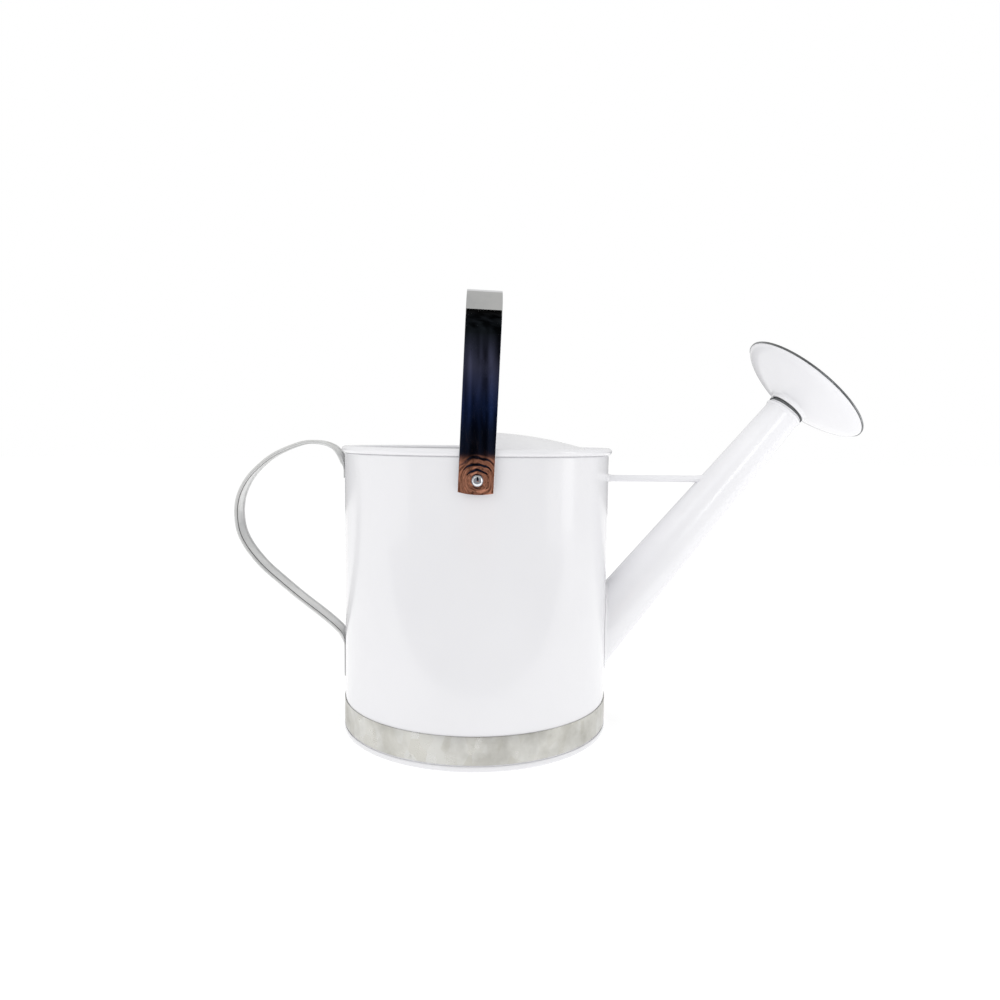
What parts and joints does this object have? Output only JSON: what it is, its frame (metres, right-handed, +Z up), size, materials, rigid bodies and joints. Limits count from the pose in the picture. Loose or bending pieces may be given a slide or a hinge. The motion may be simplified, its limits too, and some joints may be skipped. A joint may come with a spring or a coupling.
{
  "type": "watering can",
  "caption": "Round sheet-metal watering can with a half hood, slanting spout and rose, rear strap handle and a swinging bail handle.",
  "frame": {"origin": "centre of the flat underside of the base, on the tank's axis and on the floor", "axes": "+Z up along the tank's axis, +X from the tank towards the spout, +Y to the far side of the can in the picture"},
  "size_m": [0.4518, 0.204, 0.3055],
  "materials": {
    "white_paint": "glossy white powder coat",
    "galvanised_band": "smudged satin galvanised sheet",
    "galvanised_handle": "satin galvanised strap",
    "mirror_steel": "mirror polished stainless steel",
    "bare_steel": "dull bare steel",
    "seal_rubber": "matt grey"
  },
  "bodies": {
    "can": {"body_shell": "white_paint", "rim_wire": "bare_steel", "base_pan": "white_paint", "base_band": "galvanised_band", "hood": "white_paint", "spout_tube": "white_paint", "spout_brace": "white_paint", "rear_handle": "galvanised_handle", "handle_rivet_upper": "galvanised_handle", "handle_rivet_lower": "galvanised_handle", "bail_rivet_near": "mirror_steel", "bail_rivet_far": "mirror_steel", "bail_spacer_near": "bare_steel", "bail_spacer_far": "bare_steel", "bail_burr_near": "bare_steel", "bail_burr_far": "bare_steel"},
    "bail": {"bail_strap": "mirror_steel"},
    "seal": {"rose_seal": "seal_rubber"},
    "rose": {"rose_sleeve": "bare_steel", "rose_body": "white_paint", "rose_face": "bare_steel", "rose_rim": "bare_steel"}
  },
  "joints": [
    {"name": "bail_swing", "type": "hinge", "parent": "can", "child": "bail", "pos_m": [-0.0005, 0, 0.1839], "axis": [0, 1, 0], "range_deg": [-70, 80]},
    {"name": "rose_pull", "type": "slide", "parent": "can", "child": "seal", "axis": [0.6361, 0, 0.7716], "range_m": [0, 0.028]},
    {"name": "rose_twist", "type": "hinge", "parent": "seal", "child": "rose", "pos_m": [0.095, 0, 0.0729], "axis": [0.6361, 0, 0.7716], "continuous": true}
  ]
}
